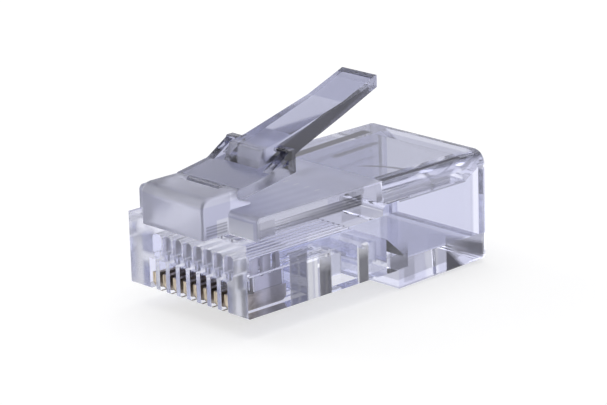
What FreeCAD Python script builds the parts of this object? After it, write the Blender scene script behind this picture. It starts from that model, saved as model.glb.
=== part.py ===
import FreeCAD, Part
import math
import os

# Eight-position modular plug: a clear moulded housing with its sprung latch tab, and eight
# blade contacts pressed into its slots. Millimetres. X runs across the plug, Y from the front
# face to the cable entry, Z up from the contact face. The origin is the middle of the lower
# front edge.

# Housing, overall
housing_width = 11.68
housing_length = 22.45
housing_height = 6.6
rear_block_start = 13.7
rear_block_drop = 1.42
rear_block_rise = 0.2
polished_start = 12.3
top_edge_round = 1.0
rear_corner_round = 0.45
low_edge_round = 0.25
front_lower_round = 0.15

# Front shelf and the nose that carries the latch
shelf_depth = 1.03
shelf_height = 5.0
shelf_top_round = 0.35
nose_width = 6.15
nose_reach = 1.2
nose_rise = 1.2
nose_top_round = 0.8
nose_side_round = 0.25
nose_pocket_width = 3.8
nose_pocket_length = 0.58
nose_pocket_depth = 0.28

# Hinge line of the latch tab
hinge_place = 2.25
hinge_radius = 0.38
hinge_clearance = 0.04
saddle_length = 0.75
saddle_clearance = 0.08

# Contact positions
contact_count = 8
contact_pitch = 1.02

# Slots that hold the contacts
slot_length = 6.1
slot_height = 2.15
slot_width = 0.62
grip_height = 1.3
grip_reach = 0.1
grip_clearance = 0.01

# Channels that guide the eight wires
channel_width = 0.88
channel_floor = 2.3
channel_ceiling = 3.75
channel_round = 0.3
front_wall = 1.05
channel_end = 10.0

# Cable entry
entry_width = 8.0
entry_floor = 0.3
entry_ceiling = 4.5
entry_floor_start = 15.4
entry_front_round = 0.5
passage_end = 13.2
entry_flare = 0.65
entry_flare_length = 1.2

# Clamp bars, moulded in the contact side and held by thin webs
wire_window_start = 8.25
wire_window_length = 2.45
jacket_window_start = 11.7
jacket_window_length = 1.75
bar_side_gap = 0.45
bar_web = 0.3
wire_bar_length = 1.1
wire_bar_height = 1.5
wire_bar_lift = 0.5
jacket_bar_length = 0.9
jacket_bar_height = 1.5
jacket_bar_lift = 0.5

# Contact blades
blade_thickness = 0.32
crest_height = 0.1
crest_front = 0.12
crest_length = 4.28
crest_round = 0.45
stem_base = 1.17
stem_front = 1.6
stem_length = 2.36
prong_notch_width = 0.45
prong_notch_place = 0.42
prong_notch_spacing = 1.12
prong_notch_bottom = 2.2
prong_top = 3.7
prong_point = 0.35

# Latch tab; its rises are counted from the top of the nose
plate_slope = 9.4
plate_thickness = 0.76
shoulder_back = 7.1
shoulder_length = 0.62
shoulder_rise = 1.62
shoulder_round = 0.15
post_width = 0.68
pocket_height = 0.66
strut_foot = 4.75
strut_thickness = 0.3
tail_width = 3.3
tail_foot = 5.0
tail_heel = 5.55
tail_heel_rise = 1.62
tail_heel_round = 0.3
tail_knee = 7.0
tail_knee_rise = 1.86
tail_bend = 12.8
tail_bend_rise = 3.4
tail_tip = 16.2
tail_tip_rise = 4.7
tail_tip_thickness = 0.88
tail_bend_thickness = 0.97
tail_flank_place = 9.0
tail_flank_thickness = 1.42
tip_round = 0.14

# Small overlap that makes cuts run past a face, a reach past the whole part, and how close two
# coordinates lie that count as one
overrun = 0.5
past_everything = 30.0
closeness = 0.01

half_nose = nose_width / 2
nose_height = housing_height + nose_rise
hinge_height = nose_height - hinge_radius
saddle_height = (nose_rise - plate_thickness - saddle_clearance) / 2
shoulder_top = nose_height + shoulder_rise
tail_heel_height = nose_height + tail_heel_rise
tail_knee_height = nose_height + tail_knee_rise
tail_bend_height = nose_height + tail_bend_rise
tail_tip_height = nose_height + tail_tip_rise


def block(x_from, x_to, y_from, y_to, z_from, z_to):
    """A box between two corners."""
    corner = FreeCAD.Vector(x_from, y_from, z_from)
    return Part.makeBox(x_to - x_from, y_to - y_from, z_to - z_from, corner)


def side_profile(points, x_from, x_to):
    """A side view, drawn as (Y, Z) points, carried straight across from one X to another."""
    corners = [FreeCAD.Vector(x_from, y, z) for y, z in points]
    face = Part.Face(Part.makePolygon(corners + corners[:1]))
    return face.extrude(FreeCAD.Vector(x_to - x_from, 0, 0))


def centred_profile(points, width):
    """A side view carried across a width that is centred on the plug."""
    return side_profile(points, -width / 2, width / 2)


def hinge_bar(radius, width):
    """A round bar along the hinge line."""
    start = FreeCAD.Vector(-width / 2, hinge_place, hinge_height)
    return Part.makeCylinder(radius, width, start, FreeCAD.Vector(1, 0, 0))


def spans(edge, axis):
    """True for a straight edge that runs along the named axis."""
    if not isinstance(edge.Curve, (Part.Line, Part.LineSegment)):
        return False
    run = edge.Vertexes[-1].Point - edge.Vertexes[0].Point
    return run.Length - abs(getattr(run, axis)) < closeness


def edges_near(shape, axis, **place):
    """Edges along an axis whose middle lies at the given coordinates."""
    found = []
    for edge in shape.Edges:
        if not spans(edge, axis):
            continue
        middle = edge.CenterOfMass
        if all(abs(getattr(middle, name) - value) < closeness for name, value in place.items()):
            found.append(edge)
    return found


def runs_low(edge):
    """True for the long edges of the deeper block's underside, which rises slightly to the rear."""
    box = edge.BoundBox
    return box.ZMax < 0 and box.XLength < closeness and box.YLength > low_edge_round


def contact_places():
    """X of each contact, from one side to the other."""
    first = -contact_pitch * (contact_count - 1) / 2
    return [first + contact_pitch * index for index in range(contact_count)]


def front_block():
    """Outer block of the contact end, with its shelf under the nose."""
    outline = [
        (0, 0),
        (polished_start, 0),
        (polished_start, housing_height),
        (shelf_depth, housing_height),
        (shelf_depth, shelf_height),
        (0, shelf_height),
    ]
    shape = centred_profile(outline, housing_width)
    shape = shape.makeFillet(front_lower_round, edges_near(shape, "x", y=0, z=0))
    return shape.makeFillet(shelf_top_round, edges_near(shape, "x", y=shelf_depth, z=housing_height))


def rear_block():
    """Outer block of the cable end: deeper, with rounded long edges and a rounded rear rim."""
    outline = [
        (polished_start, 0),
        (rear_block_start, 0),
        (rear_block_start, -rear_block_drop),
        (housing_length, rear_block_rise - rear_block_drop),
        (housing_length, housing_height),
        (polished_start, housing_height),
    ]
    shape = centred_profile(outline, housing_width)
    shape = shape.makeFillet(top_edge_round, edges_near(shape, "y", z=housing_height))
    low_edges = [edge for edge in shape.Edges if runs_low(edge)]
    low_edges += edges_near(shape, "x", y=rear_block_start, z=-rear_block_drop)
    shape = shape.makeFillet(low_edge_round, low_edges)
    rim = [edge for edge in shape.Edges if edge.BoundBox.YMin > housing_length - closeness]
    return shape.makeFillet(rear_corner_round, rim)


def nose():
    """Rounded nose ahead of the shelf; behind it, the saddle in which the latch tab turns."""
    saddle_end = hinge_place + saddle_length
    saddle_top = housing_height + saddle_height
    outline = [
        (-nose_reach, shelf_height),
        (-nose_reach, nose_height),
        (hinge_place, nose_height),
        (hinge_place, saddle_top + saddle_height),
        (saddle_end, saddle_top),
        (saddle_end, shelf_height),
    ]
    shape = centred_profile(outline, nose_width)
    shape = shape.makeFillet(nose_top_round, edges_near(shape, "x", y=-nose_reach, z=nose_height))
    shape = shape.makeFillet(nose_side_round, edges_near(shape, "z", y=-nose_reach))
    seat = hinge_bar(hinge_radius + hinge_clearance, nose_width + 2 * overrun)
    behind_hinge = block(
        -nose_width, nose_width, hinge_place, past_everything, hinge_height, nose_height + overrun
    )
    seat_front = hinge_place - hinge_radius - hinge_clearance
    pocket = block(
        -nose_pocket_width / 2, nose_pocket_width / 2,
        seat_front - nose_pocket_length, seat_front + overrun,
        nose_height - nose_pocket_depth, nose_height + overrun,
    )
    over_seat = block(
        -nose_width, nose_width, seat_front + hinge_radius / 2, past_everything, hinge_height, past_everything
    )
    return shape.cut(seat).cut(behind_hinge).cut(pocket).cut(over_seat)


def cable_entry():
    """Hollow for the cable: a wide mouth with a flared lip, a step and a flat wire passage."""
    hollow = [
        (channel_end, channel_floor),
        (passage_end, channel_floor),
        (entry_floor_start, entry_floor),
        (housing_length + overrun, entry_floor),
        (housing_length + overrun, entry_ceiling),
        (passage_end, entry_ceiling),
        (passage_end, channel_ceiling),
        (channel_end, channel_ceiling),
    ]
    shape = centred_profile(hollow, entry_width)
    shape = shape.makeFillet(entry_front_round, edges_near(shape, "x", y=passage_end, z=entry_ceiling))
    lip_slope = entry_flare / entry_flare_length
    lip = [
        (housing_length - entry_flare_length, entry_ceiling),
        (housing_length + overrun, entry_ceiling),
        (housing_length + overrun, entry_ceiling + entry_flare + overrun * lip_slope),
    ]
    return shape.fuse(centred_profile(lip, entry_width))


def wire_channel(x):
    """Guide of one wire, with rounded corners, that ends one wall short of the front face."""
    shape = block(
        x - channel_width / 2, x + channel_width / 2,
        front_wall, channel_end + overrun,
        channel_floor, channel_ceiling,
    )
    return shape.makeFillet(channel_round, [edge for edge in shape.Edges if spans(edge, "y")])


def contact_slot(x):
    """Slot of one contact, open below, in front and to its wire channel; two ribs grip the stem."""
    left = x - slot_width / 2
    right = x + slot_width / 2
    mouth = block(left, right, -overrun, slot_length, -overrun, slot_height)
    well = block(left, right, front_wall, slot_length, 0, channel_floor + channel_round)
    shape = mouth.fuse(well)
    grip_front = stem_front - grip_reach
    grip_end = stem_front + stem_length + grip_reach
    half_gap = blade_thickness / 2 + grip_clearance
    for rib_from, rib_to in ((left, x - half_gap), (x + half_gap, right)):
        shape = shape.cut(block(rib_from, rib_to, grip_front, grip_end, grip_height, past_everything))
    return shape


def window(start, length):
    """Opening through the contact side into the wire passage."""
    half = entry_width / 2
    return block(-half, half, start, start + length, -rear_block_drop - overrun, channel_floor + channel_round)


def clamp_bar(window_start, length, lift, height):
    """Bar that hangs in a window by a thin web along its front edge."""
    start = window_start + bar_web
    top = lift + height
    bar = block(
        -entry_width / 2 + bar_side_gap, entry_width / 2 - bar_side_gap, start, start + length, lift, top
    )
    web = block(
        -entry_width / 2 + bar_side_gap, entry_width / 2 - bar_side_gap,
        window_start - bar_web, start + bar_web, top - bar_web, top,
    )
    return bar.fuse(web)


def housing():
    """The clear moulding in one piece, clamp bars included."""
    shape = front_block().fuse(rear_block()).fuse(nose())
    shape = shape.cut(cable_entry())
    for x in contact_places():
        shape = shape.cut(wire_channel(x)).cut(contact_slot(x))
    shape = shape.cut(window(wire_window_start, wire_window_length))
    shape = shape.cut(window(jacket_window_start, jacket_window_length))
    shape = shape.fuse(clamp_bar(wire_window_start, wire_bar_length, wire_bar_lift, wire_bar_height))
    shape = shape.fuse(clamp_bar(jacket_window_start, jacket_bar_length, jacket_bar_lift, jacket_bar_height))
    return shape.removeSplitter()


def contact(x):
    """Stamped blade: a rounded crest below, and a stem with three prongs that pierce the wire."""
    crest_end = crest_front + crest_length
    stem_end = stem_front + stem_length
    left = x - blade_thickness / 2
    right = x + blade_thickness / 2
    crest = block(left, right, crest_front, crest_end, crest_height, stem_base)
    low_corners = edges_near(crest, "x", z=crest_height)
    crest = crest.makeFillet(crest_round, low_corners)
    notch = prong_notch_place
    notches = [notch, notch + prong_notch_spacing]
    stem = block(left, right, stem_front, stem_end, crest_height + crest_round, prong_top)
    for place in notches:
        low = prong_notch_bottom + prong_notch_width / 2
        start = stem_front + place
        gap = block(left - overrun, right + overrun, start, start + prong_notch_width, low, past_everything)
        foot_centre = FreeCAD.Vector(left - overrun, start + prong_notch_width / 2, low)
        foot = Part.makeCylinder(
            prong_notch_width / 2, blade_thickness + 2 * overrun, foot_centre, FreeCAD.Vector(1, 0, 0)
        )
        stem = stem.cut(gap).cut(foot)
    for corner, inward in ((stem_front, 1), (stem_end, -1)):
        bevel = [
            (corner, prong_top - prong_point),
            (corner + inward * notch, prong_top + overrun),
            (corner - inward * overrun, prong_top + overrun),
            (corner - inward * overrun, prong_top - prong_point),
        ]
        stem = stem.cut(side_profile(bevel, left - overrun, right + overrun))
    return crest.fuse(stem).removeSplitter()


def plate_top(y):
    """Height of the latch plate's upper face at a distance from the front."""
    return nose_height + (y - hinge_place) * math.tan(math.radians(plate_slope))


def latch_plate():
    """Thin wide plate that rises from the hinge line to the shoulders."""
    outline = [
        (hinge_place, nose_height),
        (shoulder_back, plate_top(shoulder_back)),
        (shoulder_back, plate_top(shoulder_back) - plate_thickness),
        (hinge_place, nose_height - plate_thickness),
    ]
    return centred_profile(outline, nose_width)


def shoulder(side):
    """One locking shoulder: a bridge beside the tail, a post at the edge and the strut up to it."""
    outer = side * half_nose
    inner = side * tail_width / 2
    post_inner = side * (half_nose - post_width)
    front = shoulder_back - shoulder_length
    base = plate_top(shoulder_back) - plate_thickness
    span = sorted((inner, outer))
    bridge = block(span[0], span[1], front, shoulder_back, base, shoulder_top)
    bridge = bridge.makeFillet(shoulder_round, edges_near(bridge, "x", y=front, z=shoulder_top))
    pocket_span = sorted((inner, post_inner))
    floor = plate_top(front)
    pocket = block(
        pocket_span[0], pocket_span[1], front - overrun, shoulder_back + overrun, floor, floor + pocket_height
    )
    strut_span = sorted((post_inner, outer))
    top = shoulder_top - shoulder_round
    strut = [
        (strut_foot, plate_top(strut_foot) - strut_thickness),
        (strut_foot, plate_top(strut_foot)),
        (front, top),
        (front + strut_thickness, top),
        (front + strut_thickness, top - strut_thickness),
        (strut_foot + strut_thickness, plate_top(strut_foot) - strut_thickness),
    ]
    return bridge.cut(pocket).fuse(side_profile(strut, strut_span[0], strut_span[1]))


def latch_tail():
    """Narrow finger lever: thick at the shoulders, thinning to the lifted tip."""
    outline = [
        (tail_foot, plate_top(tail_foot) - plate_thickness / 2),
        (tail_foot, plate_top(tail_foot)),
        (tail_heel, tail_heel_height),
        (tail_knee, tail_knee_height),
        (tail_bend, tail_bend_height),
        (tail_tip, tail_tip_height),
        (tail_tip, tail_tip_height - tail_tip_thickness),
        (tail_bend, tail_bend_height - tail_bend_thickness),
        (tail_flank_place, tail_flank_height() - tail_flank_thickness),
        (shoulder_back, plate_top(shoulder_back) - plate_thickness),
    ]
    shape = centred_profile(outline, tail_width)
    heel = edges_near(shape, "x", y=tail_heel, z=tail_heel_height)
    shape = shape.makeFillet(tail_heel_round, heel)
    tip = edges_near(shape, "x", y=tail_tip)
    tip += edges_near(shape, "z", y=tail_tip)
    return shape.makeFillet(tip_round, tip)


def tail_flank_height():
    """Height of the lever's upper face above its flank point."""
    rise = (tail_bend_height - tail_knee_height) / (tail_bend - tail_knee)
    return tail_knee_height + rise * (tail_flank_place - tail_knee)


def latch_tab():
    """The sprung part of the moulding, from the hinge line to the fingertip."""
    root = hinge_bar(hinge_radius, nose_width)
    shape = latch_plate().fuse(root).fuse(latch_tail())
    for side in (-1, 1):
        shape = shape.fuse(shoulder(side))
    return shape.removeSplitter()


def main():
    os.makedirs("parts", exist_ok=True)
    housing().exportStep("parts/housing.step")
    latch_tab().exportStep("parts/latch_tab.step")
    for number, x in enumerate(contact_places(), start=1):
        contact(x).exportStep(f"parts/contact_{number}.step")


main()
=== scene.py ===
import bpy
from collections import namedtuple
from math import cos, pi, radians, sin
from mathutils import Matrix, Vector


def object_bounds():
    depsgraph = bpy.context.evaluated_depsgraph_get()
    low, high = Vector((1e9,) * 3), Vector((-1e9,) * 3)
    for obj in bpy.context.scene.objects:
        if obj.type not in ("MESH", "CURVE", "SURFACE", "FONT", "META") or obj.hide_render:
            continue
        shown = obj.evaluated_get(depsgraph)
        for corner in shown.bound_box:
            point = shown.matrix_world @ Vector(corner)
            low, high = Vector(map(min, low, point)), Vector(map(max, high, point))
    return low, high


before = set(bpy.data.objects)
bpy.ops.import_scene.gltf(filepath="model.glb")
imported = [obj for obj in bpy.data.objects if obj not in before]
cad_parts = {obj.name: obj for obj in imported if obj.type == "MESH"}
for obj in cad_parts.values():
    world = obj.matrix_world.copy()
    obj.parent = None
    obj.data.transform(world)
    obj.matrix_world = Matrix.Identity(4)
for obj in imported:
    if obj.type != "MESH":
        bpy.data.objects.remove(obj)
cad_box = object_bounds()

# Places on the plug are given in millimetres, in the object's own frame: x across, y from the
# front face to the cable end, z up from the contact face. Blender works in metres.
MM = 0.001

# A span is (from, to) or (from, to, softness) along one axis, and None leaves an end open. The
# softness is how far to each side of its line one finish passes into the next.
SOFT = 0.05

# Lines on the housing
SIDE_FACE = 5.7
FROST_END = 12.35
FROST_TOP = 6.5
SKIN_TOP = 6.15
SHELF_HEIGHT = 5.0
RECESS_DEPTH = 1.23
RECESS_FLOOR = 5.03
NOSE_BACK = 3.1
NOSE_HALF = 3.2
NOSE_FLANK = 2.95
PASSAGE_END = 12.9
CAVITY_END = 21.9
CAVITY_FLOOR = 0.4
WIRE_PITCH = 1.02
RIB_PITCH = 0.2
STREAKS_START = 2.2
STREAKS_END = 7.8
DASH_LENGTH = 0.45
ARC_MIDDLE = 5.2
ARC_BEND = 0.15

# Spans on the housing. The side with painted shade is the one that the camera sees.
FRONT_FACE = (None, 0.02, 0.02)
ABOVE_SHELF = (RECESS_FLOOR, None, 0.025)
SHADE_PAINTED_SIDE = (SIDE_FACE, None)
BOTH_SIDES = (SIDE_FACE, None)

# Lines on the latch tab and the contacts
PLATE_END = 6.1
LEVER_END = 16.0
TIP_START = 15.7
GOLD_TOP = 1.22

# Slopes of the slanting marks, as millimetres of rise or shift for each millimetre along the plug
LEDGE_SLOPE = 0.48
MOUTH_SLOPE = 0.34
ROOF_SLOPE = 0.075
LEVER_SLOPE = 0.2655

# Clear plastic: refraction, roughness, depth of the surface relief, and tints
PLASTIC_IOR = 1.585
POLISHED_ROUGHNESS = 0.03
ROUNDED_ROUGHNESS = 0.12
HOUSING_FROST = 0.34
LATCH_FROST = 0.3
FROST_SPREAD = 0.06
GRAIN_STRENGTH = 0.35
WAVE_STRENGTH = 0.1
PLASTIC_RELIEF = 0.02
OUTER_TINT = (0.575, 0.585, 0.76, 1)
INNER_TINT = (0.90, 0.91, 0.98, 1)
CAVITY_TINT = (0.47, 0.48, 0.61, 1)
ROOF_TINT = (0.32, 0.33, 0.46, 1)
LATCH_TINT = (0.40, 0.41, 0.55, 1)
PLATE_TINT = (0.47, 0.48, 0.61, 1)

# A mark of painted shade holds back this share of the light and shows this dark colour
PAINTED_SHADE_SHARE = 0.86
PAINTED_SHADE_COLOUR = (0.042, 0.04, 0.078, 1)

# Plating of the contacts
NICKEL_DARK = (0.64, 0.62, 0.64, 1)
NICKEL_LIGHT = (0.76, 0.74, 0.76, 1)
GOLD_WORN = (0.26, 0.21, 0.16, 1)
GOLD_BRIGHT = (0.74, 0.65, 0.52, 1)
WEAR_STRETCH = (10.0, 0.6, 1.0)
DRAWING_STRETCH = (1.0, 12.0, 1.0)
DRAWING_RELIEF = 0.01

# Patches of painted shade on one side, standing in for dark reflections: where each starts and ends
# along the plug, its bottom and top, how far it fades out below its top, and its share
Patch = namedtuple("Patch", "start end bottom top fade share")
PAINTED_SHADE_PATCHES = (
    # Upright bands low on the side: behind the nearest contact, before and behind the first
    # window, and two where the deeper block begins
    Patch(3.75, 5.3, -1.0, 3.8, 0.3, 0.6),
    Patch(6.4, 7.45, -1.0, 3.4, 0.9, 0.86),
    Patch(10.0, 10.85, -1.0, 3.0, 0.7, 0.84),
    Patch(12.9, 14.6, 0.05, 2.0, 0.7, 0.7),
    Patch(14.2, 15.2, -1.0, 1.0, 0.4, 0.3),
    # High on the cable end: a broad level band and a thin line below it
    Patch(12.4, 18.8, 5.0, 5.95, 0.35, 0.48),
    Patch(13.9, 20.3, 4.76, 4.88, 0.02, 0.55),
    # Along the upper edge of the contact end
    Patch(1.0, 2.6, 5.2, 6.6, 0.2, 0.5),
    Patch(8.3, 9.9, 6.0, 6.6, 0.1, 0.5),
    Patch(8.5, 10.3, 4.6, 5.4, 0.2, 0.3),
    Patch(11.75, 12.3, 5.2, 6.0, 0.3, 0.6),
)

# The camera stands at these angles, in degrees, and this far from its aim, in millimetres
VIEW_AZIMUTH = 47.26
VIEW_ELEVATION = 16.97
VIEW_ROLL = -1.75
CAMERA_AIM = (0, 10.7, 4.0)
CAMERA_DISTANCE = 203.34
CAMERA_LEFT = 0.13
CAMERA_UP = 0.28

# The photograph's frame
PHOTO_WIDTH = 607
FOCAL_PIXELS = 3000
SENSOR_WIDTH = 36.0

# Light passes many walls inside the plastic
BOUNCES = 32

# Levels of the studio, where 1 is white
WHITE = (1, 1, 1, 1)
AMBIENT = 0.45
ROOM_LEVEL = 0.78
VIEWER_LEVEL = 0.45
CEILING_LEVEL = 1.0
CARD_LEVEL = 0.05
FLOOR_GLOW = 0.62
FLOOR_GLOW_IN_GLASS = 0.76

# Edges of the studio's walls in degrees: elevations, and for the card also its ends, counted to
# the viewer's right from straight behind the plug
CEILING_EDGE = 62
CARD_ELEVATIONS = (38, 52)
CARD_ENDS = (-112, -11)

# The viewer's side of the room begins here, where 0 is beside the plug and -1 towards the viewer
VIEWER_EDGE = -0.1

# How softly these parts of the room pass into each other
VIEWER_BLUR = 0.3
CEILING_BLUR = 0.05
CARD_BLUR = 0.015
CARD_END_BLUR = 0.02

# Floor: its colour, its reach in metres and its gap below the plug in millimetres
FLOOR_COLOUR = (0.5, 0.5, 0.505, 1)
FLOOR_REACH = 0.9
FLOOR_GAP = 0.05

# Lamps: place, width and height in metres, and power in watts
Lamp = namedtuple("Lamp", "name place size power")
LAMPS = (
    Lamp("softbox_top", (-0.02, 0.05, 0.25), (0.3, 0.3), 0.3),
    Lamp("softbox_left", (-0.22, -0.05, 0.12), (0.12, 0.16), 0.12),
)
LAMP_AIM = (0, 0.011, 0.003)


class Wires:
    """Short calls for building a node tree."""

    def __init__(self, tree):
        self.tree = tree

    def add(self, kind, **settings):
        node = self.tree.nodes.new(kind)
        for key, value in settings.items():
            setattr(node, key, value)
        return node

    def link(self, source, target):
        self.tree.links.new(source, target)

    def feed(self, socket, value):
        """Links another node's output to the socket, or sets a plain value on it."""
        if isinstance(value, bpy.types.NodeSocket):
            self.link(value, socket)
        else:
            socket.default_value = value

    def maths(self, operation, first, second=0.0):
        node = self.add("ShaderNodeMath", operation=operation)
        self.feed(node.inputs[0], first)
        self.feed(node.inputs[1], second)
        return node.outputs[0]

    def leaning(self, value, along, slope):
        """The first value, raised by a slope times the second one."""
        return self.maths("ADD", value, self.maths("MULTIPLY", along, slope))

    def above(self, value, limit, softness):
        """0 below the limit, 1 above it, with a short ramp between."""
        node = self.add("ShaderNodeMapRange", clamp=True)
        self.feed(node.inputs["Value"], value)
        node.inputs["From Min"].default_value = limit - softness
        node.inputs["From Max"].default_value = limit + softness
        return node.outputs[0]

    def below(self, value, limit, softness):
        return self.maths("SUBTRACT", 1.0, self.above(value, limit, softness))

    def every(self, first, *others):
        for other in others:
            first = self.maths("MULTIPLY", first, other)
        return first

    def either(self, first, *others):
        for other in others:
            first = self.maths("MAXIMUM", first, other)
        return first

    def mixed(self, factor, low, high):
        """A number that goes from low to high with the factor."""
        node = self.add("ShaderNodeMapRange", clamp=True)
        self.feed(node.inputs["Value"], factor)
        self.feed(node.inputs["To Min"], low)
        self.feed(node.inputs["To Max"], high)
        return node.outputs[0]

    def colour(self, factor, low, high):
        """A colour that goes from low to high with the factor."""
        node = self.add("ShaderNodeMix", data_type="RGBA")
        sockets = {socket.identifier: socket for socket in node.inputs}
        self.feed(sockets["Factor_Float"], factor)
        self.feed(sockets["A_Color"], low)
        self.feed(sockets["B_Color"], high)
        return next(socket for socket in node.outputs if socket.identifier == "Result_Color")

    def split(self, vector):
        """X, Y and Z of a vector."""
        node = self.add("ShaderNodeSeparateXYZ")
        self.link(vector, node.inputs[0])
        return node.outputs

    def rays(self):
        """Whether a ray comes from the camera, and whether it comes from glass or metal."""
        path = self.add("ShaderNodeLightPath")
        indirect = self.either(path.outputs["Is Glossy Ray"], path.outputs["Is Transmission Ray"])
        return path.outputs["Is Camera Ray"], indirect


class Surface(Wires):
    """The node tree of a material whose finish depends on the place on the surface."""

    def __init__(self, tree):
        super().__init__(tree)
        self.place = self.add("ShaderNodeTexCoord").outputs["Object"]
        self.x, self.y, self.z = self.split(self.place)

    @property
    def side(self):
        """How far a place lies from the plug's middle plane."""
        return self.maths("ABSOLUTE", self.x)

    def span(self, value, low, high, softness=SOFT):
        """1 between two lines, 0 outside them."""
        ends = []
        if low is not None:
            ends.append(self.above(value, low * MM, softness * MM))
        if high is not None:
            ends.append(self.below(value, high * MM, softness * MM))
        return self.every(*ends)

    def zone(self, share=1.0, **spans):
        """A soft-edged box with one span for each named axis: x, side, y or z."""
        masks = [self.span(getattr(self, axis), *span) for axis, span in spans.items()]
        return self.every(*masks, share)

    def noise(self, vector, scale, detail=2.0, roughness=0.5):
        node = self.add("ShaderNodeTexNoise")
        self.link(vector, node.inputs["Vector"])
        node.inputs["Scale"].default_value = scale
        node.inputs["Detail"].default_value = detail
        node.inputs["Roughness"].default_value = roughness
        return node.outputs["Fac"]

    def stretched(self, vector, scale):
        node = self.add("ShaderNodeMapping")
        node.inputs["Scale"].default_value = scale
        self.link(vector, node.inputs["Vector"])
        return node.outputs[0]

    def bump(self, height, strength, relief, normal=None):
        node = self.add("ShaderNodeBump")
        self.feed(node.inputs["Strength"], strength)
        node.inputs["Distance"].default_value = relief * MM
        self.link(height, node.inputs["Height"])
        if normal is not None:
            self.link(normal, node.inputs["Normal"])
        return node.outputs[0]


def new_material(name):
    material = bpy.data.materials.new(name)
    material.use_nodes = True
    return material


def clear_plastic(name, colouring, shade_painter, frosting, frosted_roughness):
    """Clear moulded polycarbonate. Three functions say how it looks at each place; one of them
    gives the painted shade.
    """
    material = new_material(name)
    surface = Surface(material.node_tree)
    shader = material.node_tree.nodes["Principled BSDF"]
    shader.inputs["IOR"].default_value = PLASTIC_IOR
    # Painted shade: where its mask is up, less light passes and the base colour turns dark
    painted_shade_mask = shade_painter(surface)
    passing = surface.mixed(painted_shade_mask, low=1.0, high=1.0 - PAINTED_SHADE_SHARE)
    surface.link(passing, shader.inputs["Transmission Weight"])
    base = surface.colour(painted_shade_mask, colouring(surface), PAINTED_SHADE_COLOUR)
    surface.link(base, shader.inputs["Base Color"])
    frost = frosting(surface)
    mottle = surface.noise(surface.place, scale=900.0, detail=3.0)
    low, high = frosted_roughness - FROST_SPREAD, frosted_roughness + FROST_SPREAD
    frosted = surface.mixed(mottle, low, high)
    polished = surface.mixed(rounding(surface), POLISHED_ROUGHNESS, ROUNDED_ROUGHNESS)
    surface.link(surface.mixed(frost, polished, frosted), shader.inputs["Roughness"])
    grain = surface.noise(surface.place, scale=9000.0, detail=4.0, roughness=0.6)
    flow = surface.noise(surface.place, scale=160.0, detail=1.0, roughness=0.4)
    strength = surface.mixed(frost, low=0.0, high=GRAIN_STRENGTH)
    fine = surface.bump(grain, strength, PLASTIC_RELIEF)
    wavy = surface.bump(flow, WAVE_STRENGTH, PLASTIC_RELIEF, normal=fine)
    surface.link(wavy, shader.inputs["Normal"])
    return material


def rounding(surface):
    """The rounded long edges and rim of the cable end, a little less polished than the rest."""
    return surface.either(
        surface.zone(side=(4.9, None, 0.1), y=(FROST_END, None, 0.1), z=(5.6, None, 0.1)),
        surface.zone(y=(21.9, None, 0.1), z=(5.6, None, 0.1)),
    )


def painted_ribs(surface, low, high):
    """Fine level ribs of painted shade, as a number that swings between low and high."""
    wave = surface.maths("SINE", surface.maths("MULTIPLY", surface.z, 2 * pi / (RIB_PITCH * MM)))
    return surface.mixed(surface.maths("ADD", wave, 0.5), low, high)


def between_channels(surface):
    """1 half-way between two wire channels and -1 over the middle of each."""
    turns = surface.maths("MULTIPLY", surface.x, 2 * pi / (WIRE_PITCH * MM))
    return surface.maths("COSINE", turns)


def housing_frost(surface):
    """The contact end's top, the nose and the recessed front; the front face has a slight haze."""
    return surface.either(
        surface.zone(y=(None, FROST_END, 0.1), z=(FROST_TOP, None)),
        surface.zone(side=(None, NOSE_HALF), y=(None, NOSE_BACK), z=ABOVE_SHELF),
        surface.zone(y=(None, RECESS_DEPTH), z=ABOVE_SHELF),
        surface.zone(y=FRONT_FACE, share=0.4),
    )


def housing_colour(surface):
    """The outer skin carries the tint, the cable end's roof more of it, most inner walls little;
    painted light thins it in places.
    """
    cavity = surface.zone(y=(PASSAGE_END, CAVITY_END, 0.1), z=(CAVITY_FLOOR, None))
    roof = surface.zone(y=(FROST_END, None), z=(SKIN_TOP, 6.7))
    inner = surface.colour(cavity, INNER_TINT, CAVITY_TINT)
    outer = surface.colour(roof, OUTER_TINT, ROOF_TINT)
    return surface.colour(housing_skin(surface), inner, outer)


def housing_skin(surface):
    """1 on the outer skin, 0 on the walls inside, and in between where light is painted in by
    thinning the tint.
    """
    skin = surface.either(
        surface.zone(side=(5.45, None)),
        surface.zone(y=FRONT_FACE),
        surface.zone(y=(22.3, None)),
        surface.zone(z=(SKIN_TOP, None)),
        surface.zone(z=(None, 0.01, 0.01)),
    )
    # Painted light: places where the skin's tint is thinned so that they look lighter
    light_painted = surface.either(
        painted_highlight_dashes(surface),
        painted_light_below_ledge(surface),
        # Painted light on the sides below the wire channels, the rim of the cable mouth, the nose's
        # top and the front
        surface.zone(side=BOTH_SIDES, y=(5.4, 12.7), z=(None, 4.3, 0.4), share=0.85),
        surface.zone(y=(21.8, None), z=(None, 5.6), share=0.85),
        surface.zone(y=(None, NOSE_BACK), z=(7.2, None), share=0.5),
        surface.zone(y=FRONT_FACE, z=(None, SHELF_HEIGHT), share=0.5),
    )
    return surface.every(skin, surface.maths("SUBTRACT", 1.0, light_painted))


def painted_highlight_dashes(surface):
    """Painted highlights: short light dashes on the frosted top, between the channels and just
    behind their painted streaks.
    """
    row = surface.zone(
        side=(None, 4.3),
        y=(STREAKS_END, STREAKS_END + DASH_LENGTH),
        z=(FROST_TOP, None),
    )
    narrow = surface.above(between_channels(surface), limit=0.93, softness=0.04)
    return surface.every(row, narrow)


def painted_light_below_ledge(surface):
    """Painted light on the sides of the deeper block, below a line that slants down to the cable
    mouth.
    """
    block = surface.zone(side=BOTH_SIDES, y=(13.9, 18.3, 0.3), z=(0.8, None, 0.5), share=0.85)
    slant = surface.leaning(surface.z, surface.y, LEDGE_SLOPE)
    return surface.every(block, surface.span(slant, None, 10.3, 0.3))


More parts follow.
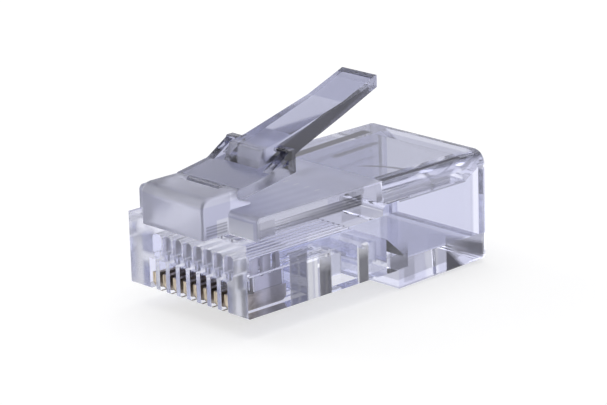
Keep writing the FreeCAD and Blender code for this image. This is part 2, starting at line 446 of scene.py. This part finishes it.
def housing_painted_shade(surface):
    """Painted shade standing in for dark reflections, most of it on one side, and painted dark
    lines along the roof's edges.
    """
    patches = [painted_shade_patch(surface, patch) for patch in PAINTED_SHADE_PATCHES]
    return surface.either(
        *patches,
        painted_ribbed_stripe(surface),
        painted_mouth_bar(surface),
        painted_mouth_wedge(surface),
        painted_roof_reflections(surface),
        painted_channel_streaks(surface),
        painted_nose_ribs(surface),
        # Painted shade along the upper edge of the side that carries it, and a thin painted dark
        # line along each edge of the roof
        surface.zone(x=SHADE_PAINTED_SIDE, y=(0.5, 10.6), z=(6.1, None), share=0.36),
        surface.zone(side=(5.29, 5.45, 0.02), y=(12.6, 20.2, 0.1), z=(6.2, None)),
        # Painted shade in the recessed front beside the nose, and on the nose's own front
        surface.zone(
            side=(NOSE_FLANK, None), y=(None, RECESS_DEPTH), z=(RECESS_FLOOR, None), share=0.22
        ),
        surface.zone(y=(None, -0.9, 0.2), share=0.14),
    )


def painted_shade_patch(surface, patch):
    """One patch of painted shade on the side that carries it, which fades out towards its top."""
    body = surface.zone(
        x=SHADE_PAINTED_SIDE, y=(patch.start, patch.end), z=(patch.bottom, None), share=patch.share
    )
    fading = surface.span(surface.z, None, patch.top - patch.fade, patch.fade)
    return surface.every(body, fading)


def painted_ribbed_stripe(surface):
    """Painted shade: a dark ribbed stripe below the frosted top, darker towards the cable end."""
    stripe = surface.zone(x=SHADE_PAINTED_SIDE, y=(1.2, 10.4, 0.15), z=(5.35, 6.14, 0.06))
    share = surface.mixed(surface.span(surface.y, 6.0, None, 4.0), low=0.45, high=0.95)
    return surface.every(stripe, share, painted_ribs(surface, low=0.8, high=1.0))


def painted_mouth_bar(surface):
    """Painted shade at the edge of the cable mouth on the side that carries it: a dark bar that
    slants down.
    """
    slant = surface.leaning(surface.z, surface.y, MOUTH_SLOPE)
    return surface.every(
        surface.zone(x=SHADE_PAINTED_SIDE, y=(18.25, 21.95, 0.08)),
        surface.span(slant, 6.45, 7.5, 0.18),
        surface.mixed(surface.span(surface.y, 19.6, None, 1.0), low=0.5, high=0.85),
    )


def painted_mouth_wedge(surface):
    """A wedge of painted shade below the front end of that bar."""
    slant = surface.maths("ADD", surface.y, surface.z)
    return surface.every(
        surface.zone(x=SHADE_PAINTED_SIDE, y=(18.3, None), z=(None, 0.3, 0.2)),
        surface.span(slant, None, 18.75, 0.25),
    )


def painted_roof_reflections(surface):
    """Painted dark reflections of the cavity's edges on the cable end's roof: two bars and a
    shallow arc.
    """
    roof = surface.zone(y=(FROST_END, None), z=(FROST_TOP, None))
    slant = surface.leaning(surface.x, surface.y, ROOF_SLOPE)
    long_bar = surface.every(
        surface.zone(y=(None, 20.3, 0.15)),
        surface.span(slant, -2.57, -1.75, 0.08),
    )
    short_bar = surface.every(
        surface.zone(y=(14.2, 18.7, 0.3), share=0.75),
        surface.span(slant, 0.05, 0.6, 0.18),
    )
    return surface.every(roof, surface.either(long_bar, short_bar, painted_roof_arc(surface)))


def painted_roof_arc(surface):
    """The painted arc lies in front, towards the side with painted shade."""
    offset = surface.maths("SUBTRACT", ARC_MIDDLE * MM, surface.x)
    bend = surface.maths("POWER", offset, 2.0)
    curve = surface.leaning(surface.y, bend, ARC_BEND / MM)
    return surface.every(
        surface.zone(x=(2.3, 5.1, 0.3), share=0.75),
        surface.span(curve, 15.0, 15.35, 0.12),
    )


def painted_channel_streaks(surface):
    """Painted shade: faint dark streaks on the frosted top, over the wire channels below."""
    row = surface.zone(y=(STREAKS_START, STREAKS_END, 0.3), z=(FROST_TOP, None), share=0.12)
    over = surface.maths("ADD", surface.maths("MULTIPLY", between_channels(surface), -0.5), 0.5)
    return surface.every(row, over)


def painted_nose_ribs(surface):
    """Painted shade: fine dark ribs low on one side of the nose."""
    flank = surface.zone(x=(NOSE_FLANK, None), y=(-0.95, 0.95, 0.1), z=(5.1, 5.95, 0.1))
    return surface.every(flank, painted_ribs(surface, low=0.35, high=0.6))


def latch_frost(surface):
    """The tip is frosted, the wide plate finely textured and the lever nearly polished."""
    plate = surface.mixed(surface.span(surface.y, None, PLATE_END), low=0.12, high=0.6)
    return surface.either(plate, surface.span(surface.y, TIP_START, None))


def latch_colour(surface):
    """The plate and the very end of the tip are a shade lighter than the lever."""
    lever = surface.span(surface.y, PLATE_END, LEVER_END, 0.1)
    return surface.colour(lever, PLATE_TINT, LATCH_TINT)


def latch_painted_shade(surface):
    """Painted shade in the pockets beside the lever's foot, on the foot's front and on one flank of
    the lever.
    """
    flank = surface.zone(x=(1.6, None, 0.03), y=(6.9, 15.4, 0.2), share=0.8)
    rise = surface.leaning(surface.z, surface.y, -LEVER_SLOPE)
    return surface.either(
        surface.zone(side=(1.68, 2.43, 0.03), y=(6.4, 7.3, 0.03), z=(8.1, 9.2, 0.03)),
        surface.zone(side=(None, 1.7, 0.03), y=(5.2, 5.75, 0.1), z=(8.4, None, 0.03), share=0.3),
        # The flank stays light along its upper edge
        surface.every(flank, surface.span(rise, None, 7.67)),
    )


def contact_metal(name):
    """Nickel-plated copper alloy, with worn gold on the crest and faint drawing lines."""
    material = new_material(name)
    surface = Surface(material.node_tree)
    shader = material.node_tree.nodes["Principled BSDF"]
    shader.inputs["Metallic"].default_value = 1.0
    stain = surface.noise(surface.place, scale=1500.0, detail=3.0)
    nickel = surface.colour(stain, NICKEL_DARK, NICKEL_LIGHT)
    rubbed = surface.stretched(surface.place, WEAR_STRETCH)
    wear = surface.noise(rubbed, scale=1500.0, detail=3.0, roughness=0.6)
    unworn = surface.above(wear, limit=0.5, softness=0.14)
    gold = surface.colour(unworn, GOLD_WORN, GOLD_BRIGHT)
    # The gold is full at the front of the crest and thins out behind
    thinning = surface.mixed(surface.span(surface.y, 1.9, None, 0.5), low=1.0, high=0.35)
    gilded = surface.every(surface.span(surface.z, None, GOLD_TOP, 0.06), thinning)
    surface.link(surface.colour(gilded, nickel, gold), shader.inputs["Base Color"])
    surface.link(surface.mixed(stain, low=0.24, high=0.38), shader.inputs["Roughness"])
    drawn = surface.stretched(surface.place, DRAWING_STRETCH)
    lines = surface.noise(drawn, scale=1200.0)
    relief = surface.bump(lines, strength=0.15, relief=DRAWING_RELIEF)
    surface.link(relief, shader.inputs["Normal"])
    return material


def floor_material():
    """Plain and pale. Camera, glass and metal see it lighter than it is lit."""
    material = new_material("studio_floor")
    material.node_tree.nodes.clear()
    wires = Wires(material.node_tree)
    lit = wires.add("ShaderNodeBsdfDiffuse")
    lit.inputs["Color"].default_value = FLOOR_COLOUR
    camera, indirect = wires.rays()
    strength = wires.either(
        wires.maths("MULTIPLY", camera, FLOOR_GLOW),
        wires.maths("MULTIPLY", indirect, FLOOR_GLOW_IN_GLASS),
    )
    glow = wires.add("ShaderNodeEmission")
    glow.inputs["Color"].default_value = WHITE
    wires.link(strength, glow.inputs["Strength"])
    total = wires.add("ShaderNodeAddShader")
    wires.link(lit.outputs[0], total.inputs[0])
    wires.link(glow.outputs[0], total.inputs[1])
    output = wires.add("ShaderNodeOutputMaterial")
    wires.link(total.outputs[0], output.inputs["Surface"])
    return material


def height(degrees):
    """How high a direction at this elevation points, from 0 level to 1 overhead."""
    return sin(radians(degrees))


def room_level(wires, direction):
    """A pale tent with a white ceiling, darker on the viewer's side, and one long dark card."""
    x, y, z = wires.split(direction)
    facing = radians(VIEW_AZIMUTH)
    right = wires.leaning(wires.maths("MULTIPLY", x, cos(facing)), y, sin(facing))
    away = wires.leaning(wires.maths("MULTIPLY", x, -sin(facing)), y, cos(facing))
    turn = wires.maths("ARCTAN2", right, away)
    first, last = (radians(end) for end in CARD_ENDS)
    low, high = (height(elevation) for elevation in CARD_ELEVATIONS)
    card = wires.every(
        wires.above(turn, first, CARD_END_BLUR),
        wires.below(turn, last, CARD_END_BLUR),
        wires.above(z, low, CARD_BLUR),
        wires.below(z, high, CARD_BLUR),
    )
    viewer = wires.below(away, VIEWER_EDGE, VIEWER_BLUR)
    ceiling = wires.above(z, height(CEILING_EDGE), CEILING_BLUR)
    level = wires.mixed(viewer, ROOM_LEVEL, VIEWER_LEVEL)
    level = wires.mixed(ceiling, level, CEILING_LEVEL)
    return wires.mixed(card, level, CARD_LEVEL)


def set_world():
    """The camera sees white, glass and metal see the studio, and all else gets an even light."""
    world = bpy.data.worlds.new("studio")
    bpy.context.scene.world = world
    world.use_nodes = True
    world.node_tree.nodes.clear()
    wires = Wires(world.node_tree)
    direction = wires.add("ShaderNodeTexCoord").outputs["Generated"]
    camera, indirect = wires.rays()
    unseen = wires.mixed(indirect, AMBIENT, room_level(wires, direction))
    background = wires.add("ShaderNodeBackground")
    background.inputs["Color"].default_value = WHITE
    wires.link(wires.mixed(camera, unseen, 1.0), background.inputs["Strength"])
    output = wires.add("ShaderNodeOutputWorld")
    wires.link(background.outputs[0], output.inputs["Surface"])


def camera_axes(azimuth, elevation, roll):
    """The camera's right, up and back directions."""
    a = radians(azimuth)
    e = radians(elevation)
    r = radians(roll)
    back = Vector((sin(a) * cos(e), -cos(a) * cos(e), sin(e)))
    side = Vector((cos(a), sin(a), 0))
    rise = back.cross(side)
    right = cos(r) * side + sin(r) * rise
    up = -sin(r) * side + cos(r) * rise
    return right, up, back


def set_camera():
    """Camera at the photograph's angle, distance and framing."""
    right, up, back = camera_axes(VIEW_AZIMUTH, VIEW_ELEVATION, VIEW_ROLL)
    data = bpy.data.cameras.new("camera")
    data.sensor_width = SENSOR_WIDTH
    data.lens = FOCAL_PIXELS * SENSOR_WIDTH / PHOTO_WIDTH
    data.clip_start = 1 * MM
    camera = bpy.data.objects.new("camera", data)
    reach = back * CAMERA_DISTANCE - right * CAMERA_LEFT + up * CAMERA_UP
    place = Vector(CAMERA_AIM) * MM + reach * MM
    turn = Matrix((right, up, back)).transposed().to_4x4()
    camera.matrix_world = Matrix.Translation(place) @ turn
    bpy.context.collection.objects.link(camera)
    bpy.context.scene.camera = camera


def add_lamp(lamp):
    data = bpy.data.lights.new(lamp.name, "AREA")
    data.shape = "RECTANGLE"
    data.size, data.size_y = lamp.size
    data.energy = lamp.power
    light = bpy.data.objects.new(lamp.name, data)
    light.location = lamp.place
    beam = Vector(LAMP_AIM) - Vector(lamp.place)
    light.rotation_euler = beam.to_track_quat("-Z", "Y").to_euler()
    bpy.context.collection.objects.link(light)


def add_floor():
    """Plain floor just below the plug's lowest point."""
    mesh = bpy.data.meshes.new("floor")
    low = cad_box[0][2] - FLOOR_GAP * MM
    r = FLOOR_REACH
    corners = [(-r, -r, low), (r, -r, low), (r, r, low), (-r, r, low)]
    mesh.from_pydata(corners, [], [(0, 1, 2, 3)])
    floor = bpy.data.objects.new("floor", mesh)
    bpy.context.collection.objects.link(floor)
    mesh.materials.append(floor_material())


def dress(node, material):
    """Gives a CAD node its material. Its mesh stays as it is."""
    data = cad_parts[node].data
    data.materials.clear()
    data.materials.append(material)


# Both plastics carry painted shade, and the housing carries painted light as well
housing = clear_plastic(
    "clear_housing", housing_colour, housing_painted_shade, housing_frost, HOUSING_FROST
)
latch = clear_plastic("clear_latch", latch_colour, latch_painted_shade, latch_frost, LATCH_FROST)
metal = contact_metal("plated_contact")
dress("housing", housing)
dress("latch_tab", latch)
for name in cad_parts:
    if name.startswith("contact_"):
        dress(name, metal)

scene = bpy.context.scene
scene.view_settings.view_transform = "Standard"
scene.cycles.max_bounces = BOUNCES
scene.cycles.glossy_bounces = BOUNCES
scene.cycles.transmission_bounces = BOUNCES
set_world()
set_camera()
add_floor()
for lamp in LAMPS:
    add_lamp(lamp)
